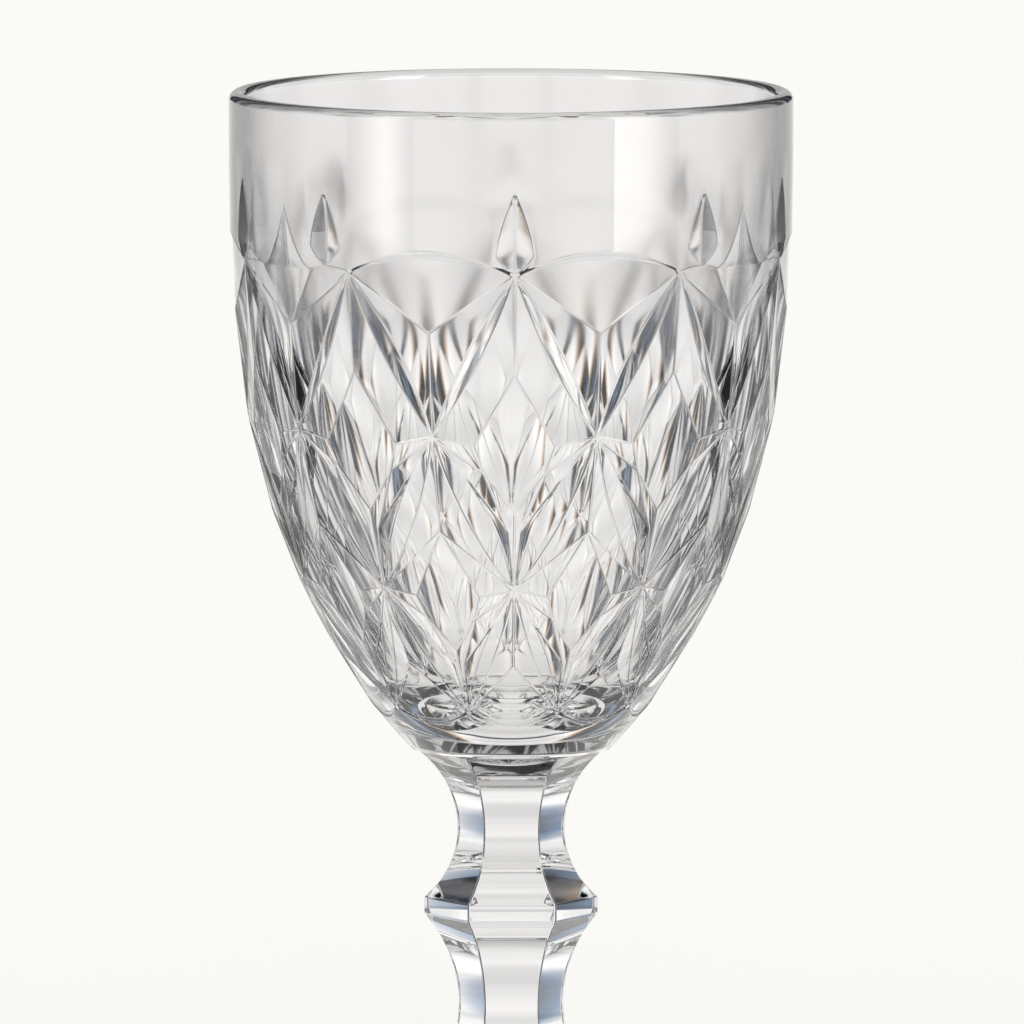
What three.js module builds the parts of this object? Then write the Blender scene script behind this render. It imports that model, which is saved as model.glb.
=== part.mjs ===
// Stemmed drinking glass in heavy clear glass: a bowl with a diamond-cut wall, a six-sided
// stem with a knop, and a round foot. Millimetres, +Z up, origin on the table under the axis.
// Angles are measured round the axis from the front (-Y) towards +X.
import * as THREE from "three";
import { mergeGeometries, mergeVertices } from "three/addons/utils/BufferGeometryUtils.js";

// Bowl
const RIM_RADIUS = 42;
const BOWL_HEIGHT = 98.3;
const BOWL_BASE_RADIUS = 14.7;
const STRAIGHT_WALL = 10; // upright part of the outer wall under the rim
const WALL_BEND = 0.446; // share of the wall's curve that is a parabola, the rest is of 4th power
const RIM_WALL = 2.6;
const BASE_THICKNESS = 6.5; // glass under the lowest point of the cup
const CUP_FLOOR_RADIUS = 17; // where the inner wall goes over into the round floor
const CUP_FLOOR_TILT = THREE.MathUtils.degToRad(43);

// Cut pattern: ten stars in each of four rows, each row half a step round from the row above
const STARS_ROUND = 10;
const PLAIN_BAND = 24.1; // rim to the top row of stars
const PLAIN_BASE = 7.5; // lowest row of stars to the bottom of the bowl
const ROW_SHARES = [24.1, 23.3, 19.3]; // how the three steps between the rows share the cut zone
const SPIKE_LENGTH = 12.9;
const SPIKE_HALF_WIDTH = 2.9;
const SPIKE_SHOULDER = 3.0; // height of the widest place above the star
const SPIKE_DEPTH = 1.0;
const SPIRE_GAPS = [3, 7, 13, 17]; // gaps between stars that rise to a spire, in half steps from the front
const SPIRE_RISE = 8.9;
const SPIRE_DEPTH = 0.9;
const SPIRE_FLARE = 1.8; // the higher, the more hollow are the spire's edges
const SPIRE_FOOT_RISE = 0.6; // edge between the star and the spire
const ARCH_RISE = 3.5; // top of the arch between two stars of the top row
const ARCH_WALL = 1.0; // height of the thin wall under the arch
const ARCH_DEPTH = 0.45;
const SKIRT_DROP = 2.2; // the same arch turned over, between two stars of the lowest row
const SKIRT_WALL = 0.8;
const SKIRT_DEPTH = 0.4;
const LEAF_DEPTHS = [1.7, 1.6, 1.3]; // deepest place of the leaf grooves in each step
const LEAF_BOWS = [1.0, 1.5, 0.6]; // how far their bottom lines bow up
const SLIVER_WIDTHS = [1.25, 1.9, 1.6]; // narrow lower flank of the leaf grooves
const PEAK_DEPTH = 0.3;
const FORK_DEPTH = 0.12;
const TAIL_DEPTH = 0.5;
const ELBOW_DEPTH = 0.5;

// Stem
const STEM_LENGTH = 51.7;
const STEM_SIDES = 6;
const STEM_TOP_RADIUS = 14.4; // all stem radii are to the corners
const STEM_END_RADIUS = 13;
const KNOP_RADIUS = 13;
const KNOP_BAND = 2.6;
const KNOP_HEIGHT = 28.1; // middle of the knop above the lower end of the stem
const UPPER_WAIST_RADIUS = 8.05;
const UPPER_WAIST_RISE = 10.3; // above the knop's band
const LOWER_WAIST_RADIUS = 7.9;
const LOWER_WAIST_DROP = 13.4; // below the knop's band

// Foot
const FOOT_RADIUS = 37;
const FOOT_HEIGHT = 10;
const FOOT_EDGE = 3.6; // thickness at the rounded edge
const FOOT_SEAT_MARGIN = 0.4; // flat seat round the corners of the stem
const REST_RING_WIDTH = 8;
const PUNT_RISE = 2; // hollow under the middle of the foot

// Fineness of the round and curved surfaces
const TURNED_SIDES = 100;
const FOOT_SIDES = 80;
const LEAF_STEPS = 8;
const ARCH_STEPS = 5;
const WALL_STEPS = 14;
const ARC_STEPS = 8;

const BOWL_BOTTOM = FOOT_HEIGHT + STEM_LENGTH;
const RIM_TOP = BOWL_BOTTOM + BOWL_HEIGHT;
const HALF_STEP = Math.PI / STARS_ROUND;
const SPIKE_ASIDE = HALF_STEP / 3; // a spike that stands aside from its star, towards a spire
const TOP_ROW = RIM_TOP - PLAIN_BAND;
const LOW_ROW = BOWL_BOTTOM + PLAIN_BASE;
const { lerp } = THREE.MathUtils;

// Heights of the four rows of stars, from the top row down.
function starRows() {
  const total = ROW_SHARES.reduce((sum, share) => sum + share);
  const rows = [TOP_ROW];
  for (const share of ROW_SHARES) {
    rows.push(rows.at(-1) - ((TOP_ROW - LOW_ROW) * share) / total);
  }
  return rows;
}

// Radius of a wall that hangs upright from its top and bends in ever faster towards its end.
function bentRadius(height, top, topRadius, end, endRadius) {
  const t = Math.max(0, (top - height) / (top - end));
  return topRadius - (topRadius - endRadius) * (WALL_BEND * t ** 2 + (1 - WALL_BEND) * t ** 4);
}

function outerRadius(height) {
  return bentRadius(height, RIM_TOP - STRAIGHT_WALL, RIM_RADIUS, BOWL_BOTTOM, BOWL_BASE_RADIUS);
}

function atAngle(angle, radius, height) {
  return new THREE.Vector3(radius * Math.sin(angle), -radius * Math.cos(angle), height);
}

// A point of the bowl's outside, cut in by the given depth.
function onWall(angle, height, depth = 0) {
  return atAngle(angle, outerRadius(height) - depth, height);
}

// The point of a flat facet, given by three of its corners, in the direction of an angle and height.
function onFacet(corners, angle, height) {
  const plane = new THREE.Plane().setFromCoplanarPoints(...corners);
  const axisPoint = new THREE.Vector3(0, 0, height);
  const radius = -plane.distanceToPoint(axisPoint) / plane.normal.dot(atAngle(angle, 1, 0));
  return atAngle(angle, radius, height);
}

// The facets of the outside. Each face is given by its corners and is turned to look outwards.
class FacetNet {
  constructor() {
    this.positions = [];
  }

  triangle(a, b, c) {
    const normal = new THREE.Vector3().crossVectors(b.clone().sub(a), c.clone().sub(a));
    const outwards = new THREE.Vector3(a.x + b.x + c.x, a.y + b.y + c.y, 0);
    const corners = normal.dot(outwards) > 0 ? [a, b, c] : [a, c, b];
    corners.forEach((corner) => this.positions.push(corner.x, corner.y, corner.z));
  }

  // A face seen whole from its first corner.
  face(first, ...others) {
    for (let i = 1; i < others.length; i++) {
      this.triangle(first, others[i - 1], others[i]);
    }
  }

  // A strip between two rows of points that share their first and may share their last point.
  strip(one, other) {
    for (let i = 1; i < one.length; i++) {
      if (i > 1) {
        this.triangle(one[i - 1], one[i], other[i - 1]);
      }
      if (one[i] !== other[i]) {
        this.triangle(one[i], other[i], other[i - 1]);
      }
    }
  }

  // Joins two rows of points that run the same way round, the second row a little ahead.
  zip(one, other, start) {
    const turn = (p) => Math.acos(Math.cos(angleOf(p) - start));
    let i = 0;
    let j = 0;
    while (i < one.length - 1 || j < other.length - 1) {
      const otherLeads = i < one.length - 1 && turn(other[j]) > turn(one[i + 1]) - 1e-6;
      const stepOne = j === other.length - 1 || otherLeads;
      this.triangle(one[i], other[j], stepOne ? one[i + 1] : other[j + 1]);
      i += stepOne ? 1 : 0;
      j += stepOne ? 0 : 1;
    }
  }

  geometry() {
    const made = new THREE.BufferGeometry();
    made.setAttribute("position", new THREE.Float32BufferAttribute(this.positions, 3));
    return made;
  }
}

function angleOf(point) {
  return Math.atan2(point.x, -point.y);
}

// Points along the straight line from an upper star to the lower star half a step aside, each
// moved off that line by a distance that is greatest in the middle and counts downwards.
function alongLeaf(angle, side, upper, lower, greatest, place) {
  const run = outerRadius((upper + lower) / 2) * HALF_STEP;
  const length = Math.hypot(run, upper - lower);
  return Array.from({ length: LEAF_STEPS + 1 }, (_, i) => {
    const t = i / LEAF_STEPS;
    const swell = 4 * t * (1 - t);
    const aside = greatest * swell;
    const height = lerp(upper, lower, t) - (aside * run) / length;
    const back = (aside * (upper - lower)) / length / outerRadius(height);
    return place(angle + side * (t * HALF_STEP - back), height, swell);
  });
}

// The bottom line of a leaf groove.
function leafValley(angle, side, upper, lower, step) {
  return alongLeaf(angle, side, upper, lower, -LEAF_BOWS[step], (turn, height, swell) =>
    onWall(turn, height, LEAF_DEPTHS[step] * swell),
  );
}

// Edge of the narrow flank below a leaf groove, on the facet between the groove and the peak.
function sliverEdge(angle, side, upper, lower, step, facet) {
  return alongLeaf(angle, side, upper, lower, SLIVER_WIDTHS[step], (turn, height) =>
    onFacet(facet, turn, height),
  );
}

// Upper half of one diamond cell on one side: the sliver of the leaf groove and the facet from
// the top star to the peak and the side star. The peak is the middle of the cell.
function cutUpperCell(net, angle, side, upper, lower, step) {
  const top = onWall(angle, upper);
  const star = onWall(angle + side * HALF_STEP, lower);
  const peak = onWall(angle, lerp(upper, lower, 0.617), PEAK_DEPTH);
  const valley = leafValley(angle, side, upper, lower, step);
  const sliver = sliverEdge(angle, side, upper, lower, step, [top, peak, star]);
  sliver[0] = valley[0];
  sliver[LEAF_STEPS] = valley[LEAF_STEPS];
  net.strip(valley, sliver);
  net.face(peak, ...sliver);
  return { peak, star };
}

// Lower half of one diamond cell on one side: the kite that hangs from the peak down to its tail,
// the ridge that narrows from the kite to the bottom star, and the broad flank of the leaf groove
// that runs from the side star to the bottom star. The kite's wing lies flat between elbow and
// peak, and the ridge's hip lies flat between elbow and bottom star.
function cutLowerCell(net, angle, side, peak, star, middle, bottom, step) {
  const tailHeight = lerp(middle, bottom, 0.494);
  const tail = onWall(angle, tailHeight, TAIL_DEPTH);
  const end = onWall(angle, bottom);
  const elbow = onWall(angle + side * 0.39 * HALF_STEP, lerp(middle, tailHeight, 0.47), ELBOW_DEPTH);
  const wing = onFacet([peak, elbow, tail], angle + side * 0.5 * HALF_STEP, lerp(middle, bottom, 0.055));
  const hip = onFacet([tail, elbow, end], angle + side * 0.08 * HALF_STEP, lerp(tailHeight, bottom, 0.235));
  net.face(peak, star, wing);
  net.face(wing, star, elbow);
  net.face(peak, wing, elbow, tail);
  net.face(tail, elbow, hip, end);
  const valley = leafValley(angle + side * HALF_STEP, -side, middle, bottom, step);
  const near = Math.round(LEAF_STEPS / 4); // up to here the flank is seen whole from the elbow
  net.face(elbow, ...valley.slice(0, near + 1), hip);
  net.face(hip, ...valley.slice(near));
}

// A shallow arch between two stars: a facet that starts at the apex, and the thin curved wall
// between the facet's edge and the uncut glass. Gives back the edge of the uncut glass.
function cutArch(net, angle, side, level, { rise, wall, depth }, apex, shares) {
  const outer = [];
  const inner = [];
  for (const share of shares) {
    const turn = angle + side * share * HALF_STEP;
    const bow = 1 - share ** 2;
    outer.push(onWall(turn, level + rise * bow));
    inner.push(share === 1 ? outer[0] : onWall(turn, level + (rise - wall) * bow, depth * bow));
  }
  net.face(apex, ...inner);
  net.strip(outer, inner);
  return outer;
}

function turnedRing(angle, side, height) {
  const steps = TURNED_SIDES / STARS_ROUND / 2;
  return Array.from({ length: steps + 1 }, (_, i) => onWall(angle + (side * i * HALF_STEP) / steps, height));
}

// One half of a spike over its foot. Gives back its edge from the tip to the shoulder.
function cutHalfSpike(net, angle, side, foot) {
  const spread = SPIKE_HALF_WIDTH / RIM_RADIUS;
  const shoulder = onWall(angle + side * spread, foot.z + SPIKE_SHOULDER);
  const tip = onWall(angle, foot.z + SPIKE_LENGTH);
  const flankHeight = foot.z + lerp(SPIKE_SHOULDER, SPIKE_LENGTH, 0.456);
  const flank = onWall(angle + side * 0.68 * spread, flankHeight);
  const groove = onWall(angle, flankHeight, 0.68 * SPIKE_DEPTH);
  const valley = onWall(angle, foot.z + SPIKE_SHOULDER, SPIKE_DEPTH);
  net.face(groove, tip, flank, shoulder, valley);
  net.face(valley, shoulder, foot);
  return [tip, flank, shoulder];
}

// One half of a gap that rises to a spire: the hollow facet from the star to the fork and the
// groove of the spire. Gives back the edge of the uncut glass, from the star to the spire's tip.
function cutHalfSpire(net, angle, side, level, fork) {
  const foot = SPIKE_ASIDE + (1.05 * SPIKE_HALF_WIDTH) / RIM_RADIUS;
  const edge = [onWall(angle, level), onWall(angle + side * SPIKE_ASIDE, level + SPIRE_FOOT_RISE)];
  const valley = [];
  for (let i = 0; i <= ARCH_STEPS; i++) {
    const share = i / ARCH_STEPS;
    const rise = share ** SPIRE_FLARE;
    edge.push(onWall(angle + side * lerp(foot, HALF_STEP, share), level + SPIRE_RISE * rise));
    valley.push(onWall(angle + side * HALF_STEP, level + SPIRE_RISE * rise, SPIRE_DEPTH * (1 - rise)));
  }
  valley[ARCH_STEPS] = edge.at(-1);
  net.face(fork, edge[0], edge[1], edge[2], valley[0]);
  net.strip(edge.slice(2).toReversed(), valley.toReversed());
  return edge;
}

// One side of the band over the top row: the spike above a star, the arch or spire to the next
// star, the broad flank of the leaf groove under it, and the plain wall up to the turned ring.
function cutTopBand(net, place, side, rows, ringHeight) {
  const angle = place * HALF_STEP;
  const [top, second] = rows;
  const star = onWall(angle, top);
  const middle = angle + side * HALF_STEP;
  const fork = onWall(middle, lerp(top, second, 0.355), FORK_DEPTH);
  const ring = turnedRing(angle, side, ringHeight);
  net.face(fork, ...leafValley(angle, side, top, second, 0));

  const inSpireGap = (step) => SPIRE_GAPS.includes((step + 2 * STARS_ROUND) % (2 * STARS_ROUND));
  const frontOfSpire = Math.cos(angle) ** 2 > Math.cos(middle) ** 2 && inSpireGap(place + side);
  const behindSpire = Math.cos(angle) ** 2 > Math.cos(angle - side * HALF_STEP) ** 2 && inSpireGap(place - side);
  if (frontOfSpire) {
    const edge = cutHalfSpire(net, angle, side, top, fork);
    const foot = angle + side * SPIKE_ASIDE;
    const near = cutHalfSpike(net, foot, -side, edge[1]);
    const far = cutHalfSpike(net, foot, side, edge[1]);
    net.triangle(near.at(-1), star, edge[1]);
    net.triangle(far.at(-1), edge[1], edge[2]);
    const split = Math.ceil((SPIKE_ASIDE / HALF_STEP) * (ring.length - 1));
    net.zip([...near, star], ring.slice(0, split + 1).toReversed(), angleOf(ring[split]));
    net.zip([...far, ...edge.slice(2)], ring.slice(split), angle);
    return;
  }
  const spread = SPIKE_HALF_WIDTH / RIM_RADIUS;
  const near = 1 - (1.6 * spread) / HALF_STEP;
  const shares = [1];
  for (let i = 1; i <= ARCH_STEPS; i++) {
    shares.push(near * (1 - (i - 1) / (ARCH_STEPS - 1)));
  }
  const size = { rise: ARCH_RISE, wall: ARCH_WALL, depth: ARCH_DEPTH };
  const edge = inSpireGap(place + side)
    ? cutHalfSpire(net, angle, side, top, fork)
    : cutArch(net, middle, -side, top, size, fork, shares);
  if (behindSpire) {
    net.zip(edge, ring, angle);
    return;
  }
  const spike = cutHalfSpike(net, angle, side, star);
  net.triangle(star, edge[1], spike.at(-1));
  net.zip([...spike, ...edge.slice(1)], ring, angle);
}

// One side of the lowest cells: the skirt below the peak ends in an arch turned over.
function cutSkirt(net, angle, side, peak, ringHeight) {
  const shares = Array.from({ length: ARCH_STEPS + 1 }, (_, i) => 1 - i / ARCH_STEPS);
  const size = { rise: -SKIRT_DROP, wall: -SKIRT_WALL, depth: SKIRT_DEPTH };
  const edge = cutArch(net, angle, side, LOW_ROW, size, peak, shares);
  net.zip(edge.toReversed(), turnedRing(angle, side, ringHeight), angle);
}

// Turns an outline, given as radius and height, round the upright axis.
function turned(outline, sides, start = 0) {
  return new THREE.LatheGeometry(outline, sides, start).rotateX(Math.PI / 2);
}

function point(radius, height) {
  return new THREE.Vector2(radius, height);
}

// Points of an arc about a centre, from one angle to another in degrees.
function arc(centre, radius, from, to, steps) {
  return Array.from({ length: steps + 1 }, (_, i) => {
    const a = THREE.MathUtils.degToRad(lerp(from, to, i / steps));
    return point(centre.x + radius * Math.cos(a), centre.y + radius * Math.sin(a));
  });
}

// One closed skin from surfaces that meet edge to edge.
function closedSkin(...surfaces) {
  const plain = surfaces.map((surface) => {
    const loose = surface.index ? surface.toNonIndexed() : surface;
    return new THREE.BufferGeometry().setAttribute("position", loose.getAttribute("position"));
  });
  const skin = mergeVertices(mergeGeometries(plain), 2e-3);
  const kept = [];
  for (let i = 0; i < skin.index.count; i += 3) {
    const [a, b, c] = [0, 1, 2].map((k) => skin.index.getX(i + k));
    if (a !== b && b !== c && c !== a) {
      kept.push(a, b, c);
    }
  }
  skin.setIndex(kept);
  skin.computeVertexNormals();
  return skin;
}

function bowlGeometry() {
  const rows = starRows();
  const upperRing = TOP_ROW + SPIKE_LENGTH + 1.5;
  const lowerRing = LOW_ROW - 0.5 * PLAIN_BASE;
  const net = new FacetNet();
  for (let k = 0; k < STARS_ROUND; k++) {
    const place = 2 * k;
    const angle = place * HALF_STEP;
    const between = angle + HALF_STEP;
    for (const side of [-1, 1]) {
      cutTopBand(net, place, side, rows, upperRing);
      const first = cutUpperCell(net, angle, side, rows[0], rows[1], 0);
      cutLowerCell(net, angle, side, first.peak, first.star, rows[1], rows[2], 1);
      const second = cutUpperCell(net, between, side, rows[1], rows[2], 1);
      cutLowerCell(net, between, side, second.peak, second.star, rows[2], rows[3], 2);
      const third = cutUpperCell(net, angle, side, rows[2], rows[3], 2);
      cutSkirt(net, angle, side, third.peak, lowerRing);
    }
  }

  // Plain wall over the cuts, rounded lip, inside of the cup and its round floor.
  const lip = RIM_WALL / 2;
  const innerRim = RIM_RADIUS - RIM_WALL;
  const floorSink = CUP_FLOOR_RADIUS * Math.tan(CUP_FLOOR_TILT / 2);
  const floorEdge = BOWL_BOTTOM + BASE_THICKNESS + floorSink;
  const floorBend = CUP_FLOOR_RADIUS / Math.sin(CUP_FLOOR_TILT);
  const inside = Array.from({ length: WALL_STEPS - 1 }, (_, i) => {
    const height = lerp(RIM_TOP - lip, floorEdge, (i + 1) / WALL_STEPS);
    return point(bentRadius(height, RIM_TOP, innerRim, floorEdge, CUP_FLOOR_RADIUS), height);
  });
  const floorTilt = THREE.MathUtils.radToDeg(CUP_FLOOR_TILT);
  const floor = arc(point(0, BOWL_BOTTOM + BASE_THICKNESS + floorBend), floorBend, floorTilt - 90, -90, 5);
  floor.at(-1).x = 0;
  const cup = turned(
    [
      point(outerRadius(upperRing), upperRing),
      ...arc(point(RIM_RADIUS - lip, RIM_TOP - lip), lip, 0, 180, ARC_STEPS),
      ...inside,
      ...floor,
    ],
    TURNED_SIDES,
  );

  // Plain base under the cuts.
  const base = turned(
    [
      point(0, BOWL_BOTTOM),
      point(BOWL_BASE_RADIUS, BOWL_BOTTOM),
      ...[0.35, 0.7].map((t) => lerp(BOWL_BOTTOM, lowerRing, t)).map((z) => point(outerRadius(z), z)),
      point(outerRadius(lowerRing), lowerRing),
    ],
    TURNED_SIDES,
  );
  return closedSkin(net.geometry(), cup, base);
}

// Hollow curve of a waist: the arc that stands upright at the waist and ends at the given corner.
function waistArc(waist, end) {
  const gain = end.x - waist.x;
  const rise = end.y - waist.y;
  const radius = (gain ** 2 + rise ** 2) / (2 * gain);
  const sweep = THREE.MathUtils.radToDeg(Math.asin(rise / radius));
  return arc(point(waist.x + radius, waist.y), radius, 180, 180 - sweep, ARC_STEPS);
}

function stemGeometry() {
  const low = FOOT_HEIGHT;
  const bandLow = low + KNOP_HEIGHT - KNOP_BAND / 2;
  const bandTop = bandLow + KNOP_BAND;
  const lowerWaist = point(LOWER_WAIST_RADIUS, bandLow - LOWER_WAIST_DROP);
  const upperWaist = point(UPPER_WAIST_RADIUS, bandTop + UPPER_WAIST_RISE);
  const outline = [
    point(0, low),
    ...waistArc(lowerWaist, point(STEM_END_RADIUS, low)).toReversed(),
    ...waistArc(lowerWaist, point(KNOP_RADIUS, bandLow)).slice(1),
    ...waistArc(upperWaist, point(KNOP_RADIUS, bandTop)).toReversed(),
    ...waistArc(upperWaist, point(STEM_TOP_RADIUS, BOWL_BOTTOM)).slice(1),
    point(0, BOWL_BOTTOM),
  ];
  return closedSkin(turned(outline, STEM_SIDES, Math.PI / STEM_SIDES));
}

function footGeometry() {
  const round = FOOT_EDGE / 2;
  const seat = STEM_END_RADIUS + FOOT_SEAT_MARGIN;
  const edge = FOOT_RADIUS - round;
  const ringInner = edge - REST_RING_WIDTH;
  const slope = new THREE.QuadraticBezierCurve(
    point(seat, FOOT_HEIGHT),
    point(lerp(seat, edge, 0.3), FOOT_EDGE * 1.15),
    point(edge, FOOT_EDGE),
  );
  const puntBend = (ringInner ** 2 + PUNT_RISE ** 2) / (2 * PUNT_RISE);
  const puntSweep = THREE.MathUtils.radToDeg(Math.asin(ringInner / puntBend));
  const punt = arc(point(0, PUNT_RISE - puntBend), puntBend, 90, 90 - puntSweep, 5);
  punt[0].x = 0;
  punt.at(-1).y = 0;
  const outline = [
    ...punt,
    ...arc(point(edge, round), round, -90, 90, ARC_STEPS),
    ...slope.getPoints(ARC_STEPS).toReversed().slice(1),
    point(0, FOOT_HEIGHT),
  ];
  return closedSkin(turned(outline, FOOT_SIDES));
}

function glassPiece(name, geometry) {
  const clear = new THREE.MeshStandardMaterial({ color: 0xe6e6e6, roughness: 0.03, metalness: 0 });
  clear.name = `${name}_clear_glass`;
  const mesh = new THREE.Mesh(geometry, clear);
  mesh.name = name;
  return mesh;
}

const glass = new THREE.Group();
glass.name = "stemmed_glass";
glass.add(glassPiece("bowl", bowlGeometry()));
glass.add(glassPiece("stem", stemGeometry()));
glass.add(glassPiece("foot", footGeometry()));

export default glass;
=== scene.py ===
"""Looks of a stemmed drinking glass: diamond-cut bowl, six-sided stem with a knop, round foot.

The glass is sized in millimetres, which become metres when a mesh is finished, and the studio in
metres. +Z is up. Angles are measured round the upright axis from the front (-Y) towards +X.
"""

import logging
import math
from dataclasses import dataclass, field
from enum import Enum, IntEnum

import bmesh
import bpy
from mathutils import Matrix, Vector, geometry


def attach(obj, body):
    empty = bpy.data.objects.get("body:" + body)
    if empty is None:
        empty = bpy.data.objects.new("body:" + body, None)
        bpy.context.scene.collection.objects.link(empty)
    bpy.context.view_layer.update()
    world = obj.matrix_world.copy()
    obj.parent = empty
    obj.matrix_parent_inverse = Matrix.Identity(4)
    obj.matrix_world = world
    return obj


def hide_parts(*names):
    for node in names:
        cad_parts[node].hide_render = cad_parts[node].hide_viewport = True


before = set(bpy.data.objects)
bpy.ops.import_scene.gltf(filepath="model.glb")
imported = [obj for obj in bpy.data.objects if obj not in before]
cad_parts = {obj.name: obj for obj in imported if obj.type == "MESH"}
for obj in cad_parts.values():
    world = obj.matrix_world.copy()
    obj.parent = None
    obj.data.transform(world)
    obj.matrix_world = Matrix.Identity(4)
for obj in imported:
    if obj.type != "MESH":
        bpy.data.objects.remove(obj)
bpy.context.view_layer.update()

LOG = logging.getLogger("stemmed_glass")
BODY = "root"
MM = 0.001
TOUCH_MM = 1e-3
MERGE_MM = 2e-3

Mesh = bmesh.types.BMesh
Vert = bmesh.types.BMVert
Edge = bmesh.types.BMEdge
Outline = list[tuple[float, float]]  # radius and height of each point


class Skin(IntEnum):
    """Material slots of a glass piece: outside, face fused to a neighbour, inside of the cup."""

    GLASS = 0
    FUSED = 1
    CUP = 2


class Facet(IntEnum):
    """First number of each kind of facet, so that its edges can be told from its inner lines."""

    PLAIN = 0
    GAP = 1
    ARCH = 2
    SPIKE = 4
    SPIRE = 6
    UPPER_CELLS = 10
    LOWER_CELLS = 20
    SKIRT = 40


class Gap(Enum):
    """How the cut ends between two stars of the top row."""

    ARCH = "low arch"
    SPIRE = "tall spire"


class Stand(Enum):
    """Where the spike of a top star stands in half a step beside the star."""

    STAR = "over the star"
    ASIDE = "aside from the star"
    AWAY = "in the half step on the star's other side"


class Ray(Enum):
    """Light paths from which a studio piece can be hidden."""

    CAMERA = "visible_camera"
    DIFFUSE = "visible_diffuse"
    GLOSSY = "visible_glossy"
    TRANSMISSION = "visible_transmission"
    SHADOW = "visible_shadow"


# A lamp or a card that only gleams on the glass.
GLEAM_ONLY = (Ray.CAMERA, Ray.DIFFUSE, Ray.TRANSMISSION, Ray.SHADOW)

# From the front to the side. The other quarters mirror these, as the four parts of the mould do.
QUARTER = (
    (Gap.ARCH, Stand.STAR),
    (Gap.ARCH, Stand.AWAY),
    (Gap.SPIRE, Stand.ASIDE),
    (Gap.SPIRE, Stand.STAR),
    (Gap.ARCH, Stand.STAR),
)


def linear(hex_code: str) -> tuple[float, float, float, float]:
    """Turn an sRGB hex value into a linear colour.

    Args:
        hex_code: Six hex digits, such as "f4f2ec".

    Returns:
        Linear red, green, blue and an alpha of one.
    """
    parts = [int(hex_code[i : i + 2], 16) / 255 for i in (0, 2, 4)]
    red, green, blue = (
        c / 12.92 if c <= 0.04045 else ((c + 0.055) / 1.055) ** 2.4 for c in parts
    )
    return red, green, blue, 1.0


def add_node(
    tree: bpy.types.NodeTree,
    kind: str,
    values: dict[str | int, object] | None = None,
    links: dict[str | int, bpy.types.NodeSocket] | None = None,
    **settings: object,
) -> bpy.types.Node:
    """Add a node with its settings, socket values and links.

    Args:
        tree: Node tree that takes the node.
        kind: Node type.
        values: Input socket, by name or number, to its constant value.
        links: Input socket, by name or number, to the output socket that feeds it.
        settings: Properties of the node itself.

    Returns:
        The new node.
    """
    node = tree.nodes.new(kind)
    for name, value in settings.items():
        setattr(node, name, value)
    for socket, value in (values or {}).items():
        node.inputs[socket].default_value = value
    for socket, source in (links or {}).items():
        tree.links.new(source, node.inputs[socket])
    return node


def new_material(name: str) -> tuple[bpy.types.Material, bpy.types.NodeTree]:
    """Make an empty node material.

    Args:
        name: Name of the real material.

    Returns:
        The material and its node tree.
    """
    made = bpy.data.materials.new(name)
    made.use_nodes = True
    made.node_tree.nodes.clear()
    return made, made.node_tree


@dataclass(frozen=True)
class ClearPressedGlass:
    """Fire-polished soda-lime glass, pressed in a mould: clear, glossy and faintly rippled."""

    name: str = "clear_pressed_glass"
    tint: str = "fdfdfd"
    ior: float = 1.52
    ripple_mm: float = 9.0
    ripple_height_mm: float = 0.004
    polish: float = 0.0
    bloom: float = 0.012
    bloom_mm: float = 3.0
    bloom_from: float = 0.45
    bloom_to: float = 0.8
    brim_haze: float = 0.0
    haze_from_mm: float = 118.0
    haze_to_mm: float = 136.0

    def material(self) -> bpy.types.Material:
        """Build the glass material.

        Returns:
            The material.
        """
        made, tree = new_material(self.name)
        place = add_node(tree, "ShaderNodeTexCoord").outputs["Object"]
        # The mould's ripple lets reflections waver a little.
        ripple = add_node(
            tree,
            "ShaderNodeTexNoise",
            {"Scale": 1 / (self.ripple_mm * MM), "Detail": 1.0},
            {"Vector": place},
        )
        bump = add_node(
            tree,
            "ShaderNodeBump",
            {"Strength": 1.0, "Distance": self.ripple_height_mm * MM},
            {"Height": ripple.outputs["Fac"]},
        )
        # A thin bloom takes a trace of the gloss off in small patches.
        bloom = add_node(
            tree,
            "ShaderNodeTexNoise",
            {"Scale": 1 / (self.bloom_mm * MM), "Detail": 2.0},
            {"Vector": place},
        )
        rough = add_node(
            tree,
            "ShaderNodeMapRange",
            {
                "From Min": self.bloom_from,
                "From Max": self.bloom_to,
                "To Min": self.polish,
                "To Max": self.polish + self.bloom,
            },
            {"Value": bloom.outputs["Fac"]},
        )
        roughness = rough.outputs["Result"]
        if self.brim_haze:
            # The plunger leaves more haze towards the brim, which softens what shows through.
            level = add_node(tree, "ShaderNodeSeparateXYZ", links={"Vector": place})
            haze = add_node(
                tree,
                "ShaderNodeMapRange",
                {
                    "From Min": self.haze_from_mm * MM,
                    "From Max": self.haze_to_mm * MM,
                    "To Max": self.brim_haze,
                },
                {"Value": level.outputs["Z"]},
                interpolation_type="SMOOTHSTEP",
            )
            both = add_node(
                tree,
                "ShaderNodeMath",
                links={0: roughness, 1: haze.outputs["Result"]},
                operation="ADD",
            )
            roughness = both.outputs["Value"]
        glass = add_node(
            tree,
            "ShaderNodeBsdfPrincipled",
            {"Base Color": linear(self.tint), "IOR": self.ior, "Transmission Weight": 1.0},
            {"Roughness": roughness, "Normal": bump.outputs["Normal"]},
        )
        add_node(tree, "ShaderNodeOutputMaterial", links={"Surface": glass.outputs["BSDF"]})
        return made


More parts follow.
